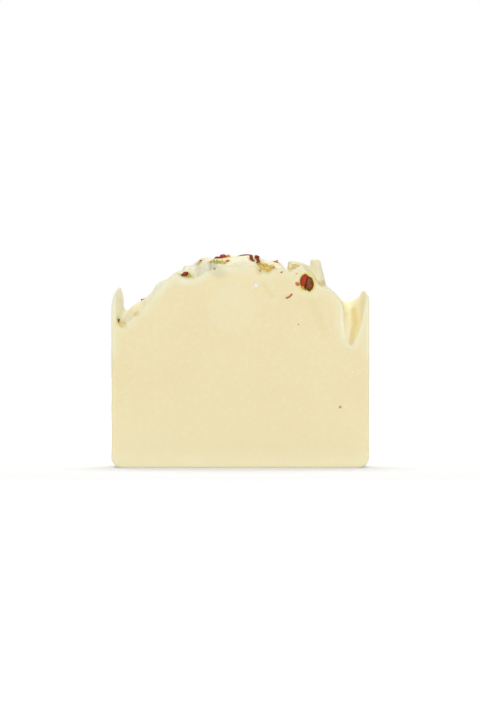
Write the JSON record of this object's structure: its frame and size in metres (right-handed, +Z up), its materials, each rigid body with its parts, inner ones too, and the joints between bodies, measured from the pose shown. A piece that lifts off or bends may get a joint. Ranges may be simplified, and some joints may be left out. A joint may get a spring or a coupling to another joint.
{
  "type": "bar of soap",
  "caption": "Upright hand-cut slice of cream-coloured loaf soap with a spooned, domed top, furrows by both walls and dried botanicals set in it.",
  "frame": {"origin": "middle of the flat base, the face that lay on the mould's floor", "axes": "+Z up from the base to the domed top, +X to the right across the front cut face, +Y from the front cut face to the back one"},
  "size_m": [0.08, 0.0258, 0.0665],
  "materials": {
    "soap": "creamy, satin, with pale specks",
    "seed": "wrinkled dark brown seed",
    "red_shell": "brittle, half glossy berry shell",
    "dark_shell": "dark red dried shell",
    "bark": "dry brown stalk and bark",
    "dried_petal": "papery yellow petal",
    "dried_floret": "dried yellow-green floret",
    "orange_bract": "papery orange bract",
    "olive_bract": "papery olive bract"
  },
  "bodies": {
    "root": {"bark_speck": "bark", "bract_crown_a": "orange_bract", "bract_crown_b": "orange_bract", "bract_olive": "olive_bract", "bract_orange": "orange_bract", "curl_strip": "dark_shell", "face_speck": "bark", "floret_bump": "dried_floret", "floret_crown_a": "dried_floret", "floret_crown_b": "dried_floret", "floret_crown_c": "dried_floret", "floret_left": "dried_floret", "floret_ridge": "dried_floret", "golden_lump": "dried_petal", "hook_strip": "dark_shell", "husk_left": "dark_shell", "husk_ridge": "dark_shell", "leaf_flake": "bark", "long_strip": "dark_shell", "peppercorn_seed": "seed", "peppercorn_shell": "red_shell", "petal_a": "dried_petal", "petal_b": "dried_petal", "petal_c": "dried_petal", "petal_d": "dried_petal", "petal_e": "dried_petal", "petal_scrap": "dried_petal", "shell_crumb": "red_shell", "shell_curl": "dark_shell", "shell_fleck": "red_shell", "shell_petal": "red_shell", "shell_sliver": "red_shell", "soap_bar": "soap", "stalk_end": "bark", "yellow_scrap": "dried_petal", "yellow_speck": "dried_petal"}
  },
  "joints": []
}
